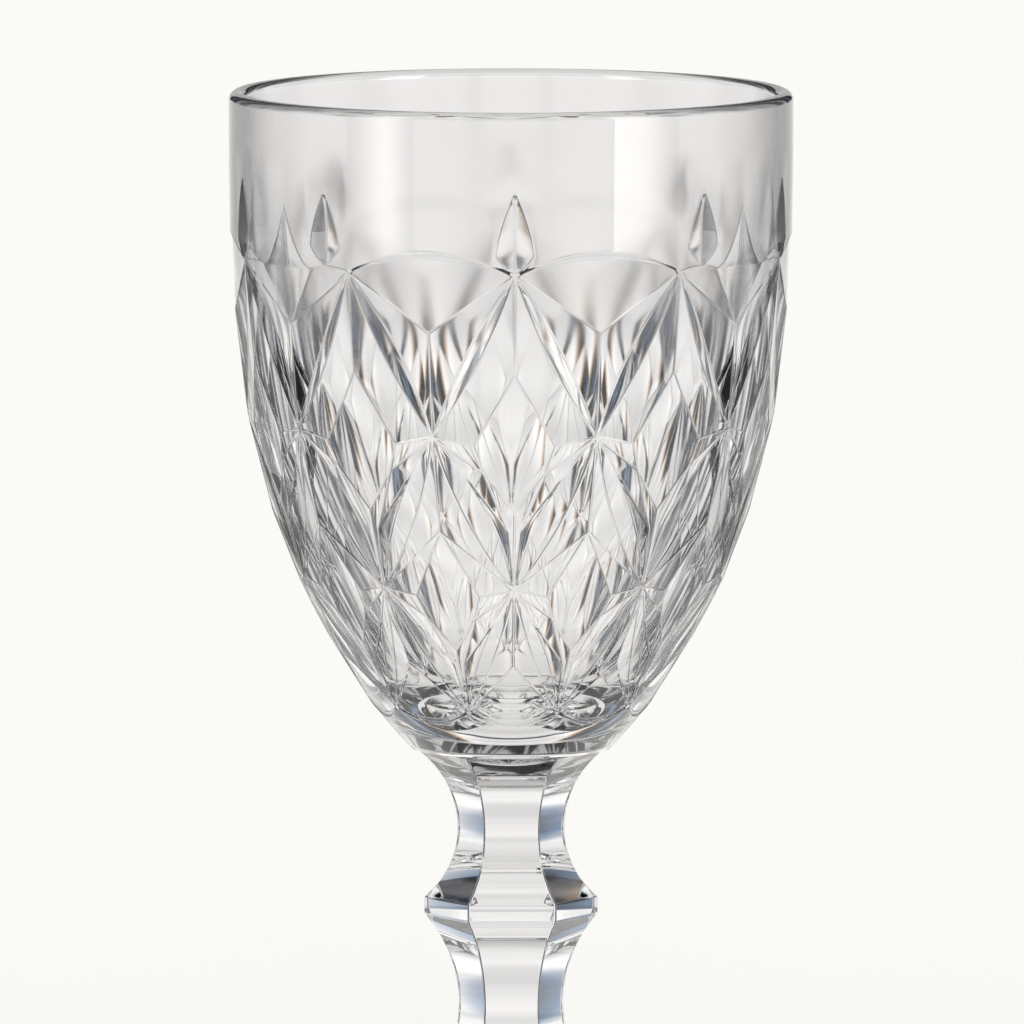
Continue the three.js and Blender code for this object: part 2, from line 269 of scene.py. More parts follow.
@dataclass(frozen=True)
class FusedGlass:
    """The place where two pieces were joined hot: the glass runs on, so nothing is seen there."""

    tint: str = "f7f8f8"

    def material(self) -> bpy.types.Material:
        """Build the material of a joined face.

        Returns:
            The material.
        """
        made, tree = new_material("fused_glass_join")
        clear = add_node(
            tree,
            "ShaderNodeBsdfPrincipled",
            {"Base Color": linear(self.tint), "Alpha": 0.0, "Roughness": 0.0},
        )
        add_node(tree, "ShaderNodeOutputMaterial", links={"Surface": clear.outputs["BSDF"]})
        return made


@dataclass(frozen=True)
class MattLaminate:
    """White matt laminate of a table top: it takes a soft shadow and has no gloss."""

    tint: str = "e8e8e7"

    def material(self) -> bpy.types.Material:
        """Build the laminate.

        Returns:
            The material.
        """
        made, tree = new_material("matt_white_laminate")
        matt = add_node(
            tree,
            "ShaderNodeBsdfPrincipled",
            {"Base Color": linear(self.tint), "Roughness": 1.0, "Specular IOR Level": 0.0},
        )
        add_node(tree, "ShaderNodeOutputMaterial", links={"Surface": matt.outputs["BSDF"]})
        return made


@dataclass(frozen=True)
class LampCloth:
    """White diffusing cloth of a soft box: bright in its middle and fading towards its sides."""

    outward: Vector
    half_width: float
    inner_fade: float
    outer_fade: float = 0.24
    glow: float = 5.5
    colour: str = "fffdfa"

    def material(self) -> bpy.types.Material:
        """Build the glowing cloth.

        Returns:
            The material.
        """
        made, tree = new_material("soft_box_cloth")
        place = add_node(tree, "ShaderNodeTexCoord").outputs["Object"]
        across = add_node(
            tree,
            "ShaderNodeVectorMath",
            {1: self.outward},
            {0: place},
            operation="DOT_PRODUCT",
        )
        inner, outer = (
            add_node(
                tree,
                "ShaderNodeMapRange",
                {"From Min": edge, "From Max": full, "To Max": most},
                {"Value": across.outputs["Value"]},
                interpolation_type="SMOOTHSTEP",
            )
            for edge, full, most in (
                (-self.half_width, self.inner_fade - self.half_width, self.glow),
                (self.half_width, self.half_width - self.outer_fade, 1.0),
            )
        )
        both = add_node(
            tree,
            "ShaderNodeMath",
            links={0: inner.outputs["Result"], 1: outer.outputs["Result"]},
            operation="MULTIPLY",
        )
        cloth = add_node(
            tree,
            "ShaderNodeEmission",
            {"Color": linear(self.colour)},
            {"Strength": both.outputs["Value"]},
        )
        add_node(tree, "ShaderNodeOutputMaterial", links={"Surface": cloth.outputs["Emission"]})
        return made


@dataclass(frozen=True)
class GlowCardWithPaintedLight:
    """White card that glows by itself with a painted pool of lamp light: brightest in its middle
    and dim towards its edge.
    """

    colour: str = "fffdfa"
    bright_reach: float = 0.12
    dim_reach: float = 0.45
    bright: float = 1.6
    dim: float = 0.3

    def material(self) -> bpy.types.Material:
        """Build the card's glow, a painted pool of lamp light.

        Returns:
            The material.
        """
        made, tree = new_material("glow_card_painted_lamp_pool")
        place = add_node(tree, "ShaderNodeTexCoord").outputs["Object"]
        reach = add_node(tree, "ShaderNodeVectorMath", links={0: place}, operation="LENGTH")
        fade = add_node(
            tree,
            "ShaderNodeMapRange",
            {
                "From Min": self.bright_reach,
                "From Max": self.dim_reach,
                "To Min": self.bright,
                "To Max": self.dim,
            },
            {"Value": reach.outputs["Value"]},
            interpolation_type="SMOOTHSTEP",
        )
        # Painted light: the card's own glow stands in for a lamp's pool of light, fading from the
        # middle outwards.
        card = add_node(
            tree,
            "ShaderNodeEmission",
            {"Color": linear(self.colour)},
            {"Strength": fade.outputs["Result"]},
        )
        add_node(tree, "ShaderNodeOutputMaterial", links={"Surface": card.outputs["Emission"]})
        return made


@dataclass(frozen=True)
class StripedRoom:
    """The room round the glass: pale, with dark upright strips that draw the cut edges.

    The strips are given by their angle from straight behind the glass, the same to the left and
    to the right, and the bands by their angle above the horizon. Both are in degrees. The strips
    fade into a plain tone near the floor and the ceiling, where the sine of the angle above the
    horizon is in the given range.
    """

    strength: float = 1.65
    plain_tone: str = "c4c3c2"
    floor_fade: tuple[float, float] = (-0.75, -0.55)
    ceiling_fade: tuple[float, float] = (0.75, 0.45)
    strips: tuple[tuple[float, str], ...] = (
        (0.0, "cccbca"),
        (6.5, "cccbca"),
        (9.0, "d8d7d6"),
        (10.9, "e4e3e1"),
        (12.2, "b89b80"),
        (13.6, "161412"),
        (18.0, "121418"),
        (19.5, "6a809b"),
        (21.2, "191c20"),
        (26.5, "1d2025"),
        (27.8, "9aa3ae"),
        (30.0, "dcdbd9"),
        (32.2, "8a7a68"),
        (33.5, "24272c"),
        (39.3, "1d2025"),
        (40.8, "667a93"),
        (42.6, "dcdcdc"),
        (50.0, "d4d3d2"),
        (55.0, "35373b"),
        (59.0, "d0d0d0"),
        (62.0, "d0d0d0"),
        (64.0, "3e4146"),
        (74.0, "3e4146"),
        (78.0, "d0d0d0"),
        (100.0, "d0d0d0"),
        (117.0, "35373b"),
        (133.0, "cfcfcf"),
        (160.0, "cfcfcf"),
        (163.0, "1d2025"),
        (166.5, "1d1a18"),
        (169.0, "d4d3d2"),
        (180.0, "d4d3d2"),
    )
    bands: tuple[tuple[float, str], ...] = (
        (-90.0, "e8e7e5"),
        (-60.0, "e8e7e5"),
        (-45.0, "dcdcdb"),
        (-34.0, "d8d8d8"),
        (-24.0, "e2e2e2"),
        (-19.0, "ececec"),
        (-14.0, "e2e2e2"),
        (-9.0, "f8f8f8"),
        (-5.0, "f0efef"),
        (-1.0, "e4e4e4"),
        (4.0, "d8d8d9"),
        (9.0, "dcdcdc"),
        (15.0, "f6f6f6"),
        (22.0, "f4f4f4"),
        (32.0, "d0d0d0"),
        (50.0, "c0c0c0"),
        (90.0, "c0c0c0"),
    )

    def world(self) -> bpy.types.World:
        """Build the room as light that comes from all round.

        Returns:
            The world that the scene takes.
        """
        made = bpy.data.worlds.new("striped_room")
        made.use_nodes = True
        tree = made.node_tree
        tree.nodes.clear()
        way = add_node(tree, "ShaderNodeTexCoord").outputs["Object"]
        axes = add_node(tree, "ShaderNodeSeparateXYZ", links={"Vector": way}).outputs
        strips, bands = self.tones(tree, axes)
        fades = [
            add_node(
                tree,
                "ShaderNodeMapRange",
                {"From Min": plain, "From Max": striped},
                {"Value": axes["Z"]},
                interpolation_type="SMOOTHSTEP",
            ).outputs["Result"]
            for plain, striped in (self.floor_fade, self.ceiling_fade)
        ]
        striped = add_node(
            tree, "ShaderNodeMath", links={0: fades[0], 1: fades[1]}, operation="MULTIPLY"
        )
        # A mix node has a set of sockets for each kind of data. These are the colour sockets.
        share, first, second, result = 0, 6, 7, 2
        walls = add_node(
            tree,
            "ShaderNodeMix",
            {first: linear(self.plain_tone)},
            {share: striped.outputs["Value"], second: strips},
            data_type="RGBA",
        )
        tones = add_node(
            tree,
            "ShaderNodeMix",
            {share: 1.0},
            {first: bands, second: walls.outputs[result]},
            data_type="RGBA",
            blend_type="MULTIPLY",
        )
        light = add_node(
            tree,
            "ShaderNodeBackground",
            {"Strength": self.strength},
            {"Color": tones.outputs[result]},
        )
        add_node(tree, "ShaderNodeOutputWorld", links={"Surface": light.outputs["Background"]})
        return made

    def tones(
        self, tree: bpy.types.NodeTree, axes: bpy.types.bpy_prop_collection
    ) -> list[bpy.types.NodeSocket]:
        """Colour the directions of light by strip and by band.

        Args:
            tree: Node tree of the world.
            axes: Sockets that give the direction's X, Y and Z.

        Returns:
            Sockets that give the strip's colour and the band's colour.
        """
        turn = add_node(
            tree, "ShaderNodeMath", links={0: axes["X"], 1: axes["Y"]}, operation="ARCTAN2"
        )
        side = add_node(
            tree, "ShaderNodeMath", links={0: turn.outputs["Value"]}, operation="ABSOLUTE"
        )
        round_room = [(angle / 180, colour) for angle, colour in self.strips]
        up_room = [
            ((1 + math.sin(math.radians(angle))) / 2, colour) for angle, colour in self.bands
        ]
        made = []
        for source, lowest, highest, stops in (
            (side.outputs["Value"], 0.0, math.pi, round_room),
            (axes["Z"], -1.0, 1.0, up_room),
        ):
            share = add_node(
                tree,
                "ShaderNodeMapRange",
                {"From Min": lowest, "From Max": highest},
                {"Value": source},
            )
            ramp = add_node(tree, "ShaderNodeValToRGB", links={"Fac": share.outputs["Result"]})
            ramp.color_ramp.interpolation = "EASE"
            elements = ramp.color_ramp.elements
            while len(elements) < len(stops):
                elements.new(0.5)
            for element, (place, colour) in zip(elements, stops):
                element.position = place
                element.color = linear(colour)
            made.append(ramp.outputs["Color"])
        return made


def at_angle(angle: float, radius: float, height: float) -> Vector:
    """Give the place at an angle (in radians from the front), a radius and a height."""
    return Vector((radius * math.sin(angle), -radius * math.cos(angle), height))


def angle_of(place: Vector) -> float:
    """Give the angle of a place round the axis, in radians from the front."""
    return math.atan2(place.x, -place.y)


def mix(start: float, end: float, share: float) -> float:
    """Go a share of the way from one value to another."""
    return start + (end - start) * share


def on_facet(corners: tuple[Vector, Vector, Vector], angle: float, height: float) -> Vector:
    """Find where a flat facet stands at an angle and a height.

    Args:
        corners: Three corners of the facet.
        angle: Angle from the front, in radians.
        height: Height above the table.

    Returns:
        The place on the facet's plane.
    """
    first, second, third = corners
    normal = (second - first).cross(third - first)
    past_wall = 100.0
    outside = at_angle(angle, past_wall, height)
    return geometry.intersect_line_plane(Vector((0, 0, height)), outside, first, normal)


def arc(
    centre: tuple[float, float], radius: float, start: float, end: float, steps: int
) -> Outline:
    """Lay points along an arc of an outline.

    Args:
        centre: Radius and height of the arc's centre.
        radius: Radius of the arc.
        start: First angle in degrees.
        end: Last angle in degrees.
        steps: Number of steps along the arc.

    Returns:
        Radius and height of each point.
    """
    turns = [math.radians(mix(start, end, i / steps)) for i in range(steps + 1)]
    return [
        (centre[0] + radius * math.cos(a), centre[1] + radius * math.sin(a)) for a in turns
    ]


def turn_outline(
    bm: Mesh, outline: Outline, sides: int, start: float = 0.0
) -> list[bmesh.types.BMFace]:
    """Turn an outline round the upright axis.

    Args:
        bm: Mesh that takes the turned surface.
        outline: Radius and height of each point of the outline.
        sides: Number of sides of the full turn.
        start: Angle of the first corner in radians.

    Returns:
        The new faces.
    """
    before = set(bm.faces)
    verts = [bm.verts.new(at_angle(start, max(r, 0.0), z)) for r, z in outline]
    edges = [bm.edges.new(pair) for pair in zip(verts, verts[1:])]
    bmesh.ops.spin(
        bm,
        geom=verts + edges,
        cent=(0, 0, 0),
        axis=(0, 0, 1),
        angle=2 * math.pi,
        steps=sides,
        use_merge=True,
    )
    return [face for face in bm.faces if face not in before]


def hexagon_radius(angle: float, corner_radius: float) -> float:
    """Give the distance from the axis to a hexagon with a flat to the front.

    Args:
        angle: Angle from the front, in radians.
        corner_radius: Distance from the axis to the corners.

    Returns:
        Distance from the axis to the hexagon's side at that angle.
    """
    sixth = math.pi / 3
    turn = (angle + sixth / 2) % sixth - sixth / 2
    return corner_radius * math.cos(sixth / 2) / math.cos(turn)


def close_with_hexagon(bm: Mesh, rim: list[Edge], corner_radius: float) -> None:
    """Close a round opening with a flat ring and the hexagon that is fused to the stem.

    Args:
        bm: Mesh with the opening.
        rim: Edges of the opening.
        corner_radius: Distance from the axis to the hexagon's corners.
    """
    made = bmesh.ops.extrude_edge_only(bm, edges=rim)["geom"]
    for vert in (v for v in made if isinstance(v, Vert)):
        angle = angle_of(vert.co)
        vert.co = at_angle(angle, hexagon_radius(angle, corner_radius), vert.co.z)
    loop = [e for e in made if isinstance(e, Edge) and e.is_boundary]
    bmesh.ops.edgeloop_fill(bm, edges=loop, mat_nr=Skin.FUSED)


def open_edges(bm: Mesh, height: float) -> list[Edge]:
    """Find the open edges at a height.

    Args:
        bm: Mesh to search.
        height: Height above the table.

    Returns:
        The edges with one face that lie at that height.
    """
    found = [e for e in bm.edges if e.is_boundary]
    return [e for e in found if all(abs(v.co.z - height) < TOUCH_MM for v in e.verts)]


def round_edges(bm: Mesh, edges: list[Edge], width: float, strips: int) -> dict[str, list]:
    """Round edges as fire polishing does.

    Args:
        bm: Mesh with the edges.
        edges: Edges to round.
        width: Distance from the edge where the rounding starts.
        strips: Number of strips of faces across the rounding.

    Returns:
        The new faces, edges and vertices under those names.
    """
    return bmesh.ops.bevel(
        bm,
        geom=edges,
        offset=width,
        offset_type="OFFSET",
        affect="EDGES",
        segments=strips,
        profile=0.5,
        material=-1,
        clamp_overlap=False,
    )


def finish_piece(name: str, bm: Mesh, finishes: list[bpy.types.Material]) -> bpy.types.Object:
    """Turn a mesh in millimetres into a finished glass piece that stands for its CAD node.

    Args:
        name: Name of the CAD node.
        bm: Closed mesh in millimetres, which is freed.
        finishes: Materials in the order of Skin.

    Returns:
        The new object.
    """
    bmesh.ops.recalc_face_normals(bm, faces=bm.faces)
    for face in bm.faces:
        face.smooth = True
    bmesh.ops.scale(bm, vec=(MM, MM, MM), verts=bm.verts)
    mesh = bpy.data.meshes.new(f"{name}_glass")
    bm.to_mesh(mesh)
    bm.free()
    for finish in finishes:
        mesh.materials.append(finish)
    piece = bpy.data.objects.new(f"{name}_glass", mesh)
    bpy.context.scene.collection.objects.link(piece)
    even = piece.modifiers.new("facet_normals", "WEIGHTED_NORMAL")
    even.mode = "FACE_AREA"
    even.weight = 100
    even.keep_sharp = False
    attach(piece, BODY)
    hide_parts(name)
    return piece


@dataclass(frozen=True)
class BentWall:
    """A turned wall that hangs upright from its top and bends in ever faster towards its end."""

    top: float
    top_radius: float
    end: float
    end_radius: float
    bend: float = 0.446

    def radius(self, height: float) -> float:
        """Give the wall's radius at a height.

        Args:
            height: Height above the table.

        Returns:
            Distance of the wall from the axis.
        """
        share = max(0.0, (self.top - height) / (self.top - self.end))
        curve = self.bend * share**2 + (1 - self.bend) * share**4
        return self.top_radius - (self.top_radius - self.end_radius) * curve


@dataclass(frozen=True)
class ArchCut:
    """A shallow arch over a row of stars, or under it if its rise and its wall are negative."""

    rise: float
    wall: float
    depth: float


@dataclass
class CutPattern:
    """The cut facets of the bowl: four rows of stars with leaf grooves between them.

    The grooves bow and meet in the stars, which no operator gives, so each facet is laid by its
    corners in half a step of the pattern. That half step is then turned and mirrored. A share is
    part of the way down between two heights, and an across is part of the way from the middle of
    a cell to its side star.
    """

    wall: BentWall
    top_row: float
    low_row: float
    stars_round: int = 10
    columns: int = 18
    row_shares: tuple[float, ...] = (24.1, 23.3, 19.3)
    plain_over_spikes: float = 1.5
    plain_under_stars: float = 3.75
    leaf_depths: tuple[float, ...] = (1.7, 1.6, 1.3)
    leaf_bows: tuple[float, ...] = (1.0, 1.5, 0.6)
    leaf_steps: int = 16
    leaf_end_share: float = 0.07
    sliver_widths: tuple[float, ...] = (1.25, 1.9, 1.6)
    peak_share: float = 0.617
    peak_depth: float = 0.3
    tail_share: float = 0.494
    tail_depth: float = 0.5
    elbow_share: float = 0.47
    elbow_across: float = 0.39
    elbow_depth: float = 0.5
    wing_share: float = 0.055
    wing_across: float = 0.5
    hip_share: float = 0.235
    hip_across: float = 0.08
    fork_share: float = 0.355
    fork_depth: float = 0.12
    arch_cut: ArchCut = ArchCut(3.5, 1.0, 0.35)
    skirt_cut: ArchCut = ArchCut(-2.2, -0.8, 0.4)
    spike_length: float = 12.9
    spike_columns: int = 4
    spike_shoulder: float = 3.0
    spike_shoulder_steps: int = 4
    spike_flank_power: float = 0.69
    spike_shoulder_power: float = 0.77
    spike_depth: float = 0.75
    spike_depth_power: float = 0.8
    aside_length: float = 11.4
    aside_columns: int = 6
    spire_rise: float = 8.9
    spire_flare: float = 1.8
    spire_foot_rise: float = 0.6
    spire_depth: float = 0.7
    spire_fork_depth: float = 0.5
    edge_round: float = 0.23
    least_turn: float = 0.01
    ridge_turn: float = 0.14
    ridge_rise: float = 0.7

    @property
    def half_step(self) -> float:
        """Half the angle between two stars of a row."""
        return math.pi / self.stars_round

    @property
    def upper_ring(self) -> float:
        """Height of the plain ring above the spikes."""
        return self.top_row + self.spike_length + self.plain_over_spikes

    @property
    def lower_ring(self) -> float:
        """Height of the plain ring under the lowest stars."""
        return self.low_row - self.plain_under_stars

    def rows(self) -> list[float]:
        """Give the heights of the four rows of stars.

        Returns:
            The heights from the top row down.
        """
        total = sum(self.row_shares)
        heights = [self.top_row]
        for share in self.row_shares:
            heights.append(heights[-1] - (self.top_row - self.low_row) * share / total)
        return heights

    def on_wall(self, angle: float, height: float, depth: float = 0.0) -> Vector:
        """Give the place at an angle and a height on the bowl's outside, cut in by a depth."""
        return at_angle(angle, self.wall.radius(height) - depth, height)

    def facet(self, bm: Mesh, number: int, *corners: Vert) -> None:
        """Add one face of the facet with that number, from its corners in order."""
        layer = bm.faces.layers.int["facet"]
        bm.faces.new(corners)[layer] = number

    def leaf_shares(self) -> list[float]:
        """Give the places along a leaf groove, with longer steps at its stars."""
        ends, steps = self.leaf_end_share, self.leaf_steps - 2
        return [mix(ends, 1 - ends, i / steps) for i in range(steps + 1)]

    def beside_leaf(
        self, upper: Vector, lower: Vector, share: float, aside: float
    ) -> tuple[float, float]:
        """Go along the straight line between two stars and then aside from it.

        Args:
            upper: Star at the upper end.
            lower: Star at the lower end.
            share: Share of the way from the upper star.
            aside: Distance down from the line, or up if negative.

        Returns:
            Angle and height of the place.
        """
        start, end = angle_of(upper), angle_of(lower)
        drop = upper.z - lower.z
        run = self.wall.radius((upper.z + lower.z) / 2) * self.half_step
        length = math.hypot(run, drop)
        height = mix(upper.z, lower.z, share) - aside * run / length
        back = aside * drop / length / self.wall.radius(height)
        way = 1 if end > start else -1
        return mix(start, end, share) - way * back, height

    def leaf(self, bm: Mesh, upper: Vert, lower: Vert, depth: float, bow: float) -> list[Vert]:
        """Lay the bottom line of a leaf groove between two stars.

        Args:
            bm: Mesh of the half step.
            upper: Star at the upper end.
            lower: Star at the lower end.
            depth: Depth in the middle of the groove.
            bow: How far the line bows up in its middle.

        Returns:
            The points from the upper to the lower star.
        """
        inner = []
        for share in self.leaf_shares():
            swell = 4 * share * (1 - share)
            turn, height = self.beside_leaf(upper.co, lower.co, share, -bow * swell)
            inner.append(bm.verts.new(self.on_wall(turn, height, depth * swell)))
        return [upper, *inner, lower]

    def upper_cell(self, bm: Mesh, leaf: list[Vert], width: float, number: int) -> Vert:
        """Cut the sliver under a leaf groove and the facet from it to the middle of the cell.

        Args:
            bm: Mesh of the half step.
            leaf: Bottom line of the groove, from the cell's top star to its side star.
            width: Greatest width of the sliver.
            number: Number of the first facet.

        Returns:
            The peak in the middle of the cell.
        """
        top, side = leaf[0], leaf[-1]
        peak_height = mix(top.co.z, side.co.z, self.peak_share)
        peak = bm.verts.new(self.on_wall(angle_of(top.co), peak_height, self.peak_depth))
        edge = [top]
        for share in self.leaf_shares():
            aside = 4 * width * share * (1 - share)
            turn, height = self.beside_leaf(top.co, side.co, share, aside)
            edge.append(bm.verts.new(on_facet((top.co, peak.co, side.co), turn, height)))
        edge.append(side)
        self.facet(bm, number, top, leaf[1], edge[1])
        for i in range(1, len(leaf) - 2):
            self.facet(bm, number, leaf[i], leaf[i + 1], edge[i + 1], edge[i])
        self.facet(bm, number, leaf[-2], side, edge[-2])
        self.facet(bm, number + 1, peak, *edge)
        return peak

    def lower_cell(self, bm: Mesh, peak: Vert, leaf: list[Vert], number: int) -> None:
        """Cut the kite under a peak and the broad flank of the leaf groove below it.

        Args:
            bm: Mesh of the half step.
            peak: Middle of the cell.
            leaf: Bottom line of the groove, from the cell's side star to its bottom star.
            number: Number of the first facet.
        """
        side, bottom = leaf[0], leaf[-1]
        high, low = side.co.z, bottom.co.z
        centre = angle_of(peak.co)
        across = angle_of(side.co) - centre
        tail_height = mix(high, low, self.tail_share)
        elbow_height = mix(high, tail_height, self.elbow_share)
        elbow_angle = centre + self.elbow_across * across
        wing_height = mix(high, low, self.wing_share)
        wing_angle = centre + self.wing_across * across
        hip_height = mix(tail_height, low, self.hip_share)
        hip_angle = centre + self.hip_across * across
        tail = bm.verts.new(self.on_wall(centre, tail_height, self.tail_depth))
        elbow = bm.verts.new(self.on_wall(elbow_angle, elbow_height, self.elbow_depth))
        kite, flank = (peak.co, elbow.co, tail.co), (tail.co, elbow.co, bottom.co)
        wing = bm.verts.new(on_facet(kite, wing_angle, wing_height))
        hip = bm.verts.new(on_facet(flank, hip_angle, hip_height))
        self.facet(bm, number, peak, side, wing)
        self.facet(bm, number + 1, wing, side, elbow)
        self.facet(bm, number + 2, peak, wing, elbow, tail)
        self.facet(bm, number + 3, tail, elbow, hip, bottom)
        near = len(leaf) // 4
        self.facet(bm, number + 4, elbow, leaf[near], hip)
        for i, (one, other) in enumerate(zip(leaf, leaf[1:])):
            self.facet(bm, number + 4, elbow if i < near else hip, one, other)

    def arch(self, bm: Mesh, apex: Vert, star: Vert, cut: ArchCut, number: int) -> list[Vert]:
        """Cut half of the shallow arch between two stars of one row.

        Args:
            bm: Mesh of the half step.
            apex: Corner of the arch's facet, in the middle between the stars.
            star: Star at the end of the arch.
            cut: Sizes of the arch.
            number: Number of the first facet.

        Returns:
            The edge of the uncut glass, from the star to the middle.
        """
        middle = angle_of(apex.co)
        across = angle_of(star.co) - middle
        level = star.co.z
        outer, inner = [star], [star]
        for i in range(1, self.columns + 1):
            share = 1 - i / self.columns
            turn = middle + across * share
            bow = 1 - share**2
            outer.append(bm.verts.new(self.on_wall(turn, level + cut.rise * bow)))
            low = level + (cut.rise - cut.wall) * bow
            inner.append(bm.verts.new(self.on_wall(turn, low, cut.depth * bow)))
        for one, other in zip(inner, inner[1:]):
            self.facet(bm, number, apex, one, other)
        self.facet(bm, number + 1, star, outer[1], inner[1])
        for i in range(1, self.columns):
            self.facet(bm, number + 1, outer[i], outer[i + 1], inner[i + 1], inner[i])
        return outer

    def ring(self, bm: Mesh, height: float) -> list[Vert]:
        """Lay the points of a plain ring over half a step, from the front on."""
        step = self.half_step / self.columns
        return [bm.verts.new(self.on_wall(i * step, height)) for i in range(self.columns + 1)]

    def spire(self, bm: Mesh, fork: Vert, star: Vert) -> list[Vert]:
        """Cut half of a gap that rises to a spire over the fork.

        Args:
            bm: Mesh of the half step.
            fork: Lower end of the spire's groove.
            star: Star at the end of the gap.

        Returns:
            The edge of the uncut glass, from the star to the spire's tip.
        """
        level, foot = star.co.z, self.aside_columns + self.spike_columns
        edge = [star]
        for i in range(1, self.columns + 1):
            rise = self.spire_foot_rise * (1 - (2 * i / foot - 1) ** 2)
            if i > foot:
                rise = self.spire_rise * ((i - foot) / (self.columns - foot)) ** self.spire_flare
            turn = self.half_step * i / self.columns
            edge.append(bm.verts.new(self.on_wall(turn, level + rise)))
        groove = []
        for side in edge[foot:-1]:
            depth = self.spire_depth * (1 - (side.co.z - level) / self.spire_rise)
            groove.append(bm.verts.new(self.on_wall(self.half_step, side.co.z, depth)))
        for one, other in zip(edge[:foot], edge[1:]):
            self.facet(bm, Facet.SPIRE, fork, one, other)
        self.facet(bm, Facet.SPIRE, fork, edge[foot], groove[0])
        for i in range(len(groove) - 1):
            sides = edge[foot + i], edge[foot + i + 1]
            self.facet(bm, Facet.SPIRE, *sides, groove[i + 1], groove[i])
        self.facet(bm, Facet.SPIRE, edge[-2], edge[-1], groove[-1])
        return edge

    def spike_side(self, length: float) -> list[tuple[float, float]]:
        """Give the side of a spike, from under its tip down to its shoulder and in to its foot.

        Args:
            length: Height of the spike.

        Returns:
            Share of the spike's half width and rise over its foot of each point.
        """
        steps, shoulder = 2 * self.spike_columns, self.spike_shoulder
        points = []
        for i in range(1, steps + 1):
            share = i / steps
            rise = mix(shoulder, length, (1 - share) ** self.spike_flank_power)
            points.append((share, rise))
        for i in range(1, self.spike_shoulder_steps):
            share = 1 - i / self.spike_shoulder_steps
            points.append((share, shoulder * (1 - (1 - share) ** self.spike_shoulder_power)))
        return points

    def half_spike(
        self, bm: Mesh, edge: list[Vert], ring: list[Vert], column: int, way: int, length: float
    ) -> None:
        """Cut half of a spike and lay the plain wall beside it.

        Args:
            bm: Mesh of the half step.
            edge: Edge of the uncut glass, on which the spike stands.
            ring: Plain ring above the spikes.
            column: Column of the spike's foot.
            way: One for the half towards the fork, minus one for the half towards the star.
            length: Height of the spike.
        """
        foot, reach = edge[column], self.spike_columns
        middle, level = angle_of(foot.co), foot.co.z
        spread = way * reach * self.half_step / self.columns
        tip = bm.verts.new(self.on_wall(middle, level + length))
        side, valley = [], []
        for share, rise in self.spike_side(length):
            swell = math.sin(math.pi * (rise / length) ** self.spike_depth_power)
            depth = self.spike_depth * swell
            side.append(bm.verts.new(self.on_wall(middle + spread * share, level + rise)))
            valley.append(bm.verts.new(self.on_wall(middle, level + rise, depth)))
        self.facet(bm, Facet.SPIKE, tip, side[0], valley[0])
        for i in range(len(side) - 1):
            self.facet(bm, Facet.SPIKE, side[i], side[i + 1], valley[i + 1], valley[i])
        self.facet(bm, Facet.SPIKE, side[-1], foot, valley[-1])
        outline = [tip, *side[: 2 * reach]]
        above = [ring[column + way * i] for i in range(reach + 1)]
        below = [edge[column + way * i] for i in range(reach, 0, -1)]
        for i in range(reach):
            wall = outline[2 * i : 2 * i + 3]
            self.facet(bm, Facet.PLAIN, above[i], above[i + 1], *reversed(wall))
        under = side[: 2 * reach - 1 : -1]
        self.facet(bm, Facet.PLAIN, outline[-1], *below, foot, *under)
        end = column + way * reach
        beyond = end + way
        corners = ring[end], ring[beyond], edge[beyond], edge[end], outline[-1]
        self.facet(bm, Facet.PLAIN, *corners)

    def top_band(self, bm: Mesh, star: Vert, fork: Vert, gap: Gap, stand: Stand) -> None:
        """Cut the gap beside a top star and its spike, and lay the plain wall over them.

        Args:
            bm: Mesh of the half step.
            star: Star of the top row.
            fork: Lower corner of the gap's facet.
            gap: How the cut ends in this gap.
            stand: Where the star's spike stands.
        """
        if gap is Gap.ARCH:
            edge = self.arch(bm, fork, star, self.arch_cut, Facet.ARCH)
        else:
            edge = self.spire(bm, fork, star)
        ring = self.ring(bm, self.upper_ring)
        plain = set(range(self.columns))
        halves = {
            Stand.STAR: [(0, 1, self.spike_length)],
            Stand.ASIDE: [(self.aside_columns, way, self.aside_length) for way in (1, -1)],
            Stand.AWAY: [],
        }
        for column, way, length in halves[stand]:
            self.half_spike(bm, edge, ring, column, way, length)
            first = column if way > 0 else column - self.spike_columns - 1
            plain -= set(range(first, first + self.spike_columns + 1))
        for i in sorted(plain):
            self.facet(bm, Facet.PLAIN, ring[i], ring[i + 1], edge[i + 1], edge[i])

    def half_step_mesh(self, bm: Mesh, gap: Gap, stand: Stand) -> None:
        """Build the facets between the middle of a star and the middle of the next gap.

        Args:
            bm: Mesh that takes the facets.
            gap: How the cut ends in the top gap.
            stand: Where the top star's spike stands.
        """
        rows = self.rows()
        first, third = (bm.verts.new(self.on_wall(0.0, z)) for z in rows[::2])
        second, fourth = (bm.verts.new(self.on_wall(self.half_step, z)) for z in rows[1::2])
        ends = (first, second), (second, third), (third, fourth)
        leaves = [
            self.leaf(bm, upper, lower, depth, bow)
            for (upper, lower), depth, bow in zip(ends, self.leaf_depths, self.leaf_bows)
        ]
        fork_depth = self.fork_depth if gap is Gap.ARCH else self.spire_fork_depth
        fork_height = mix(rows[0], rows[1], self.fork_share)
        fork = bm.verts.new(self.on_wall(self.half_step, fork_height, fork_depth))
        for one, other in zip(leaves[0], leaves[0][1:]):
            self.facet(bm, Facet.GAP, fork, one, other)
        self.top_band(bm, first, fork, gap, stand)
        peaks = [
            self.upper_cell(bm, leaf, width, Facet.UPPER_CELLS + 2 * i)
            for i, (leaf, width) in enumerate(zip(leaves, self.sliver_widths))
        ]
        for i, (peak, leaf) in enumerate(zip(peaks, leaves[1:])):
            self.lower_cell(bm, peak, leaf, Facet.LOWER_CELLS + 10 * i)
        skirt = self.arch(bm, peaks[-1], fourth, self.skirt_cut, Facet.SKIRT)
        edge = skirt[::-1]
        ring = self.ring(bm, self.lower_ring)
        for i in range(self.columns):
            self.facet(bm, Facet.PLAIN, edge[i], edge[i + 1], ring[i + 1], ring[i])

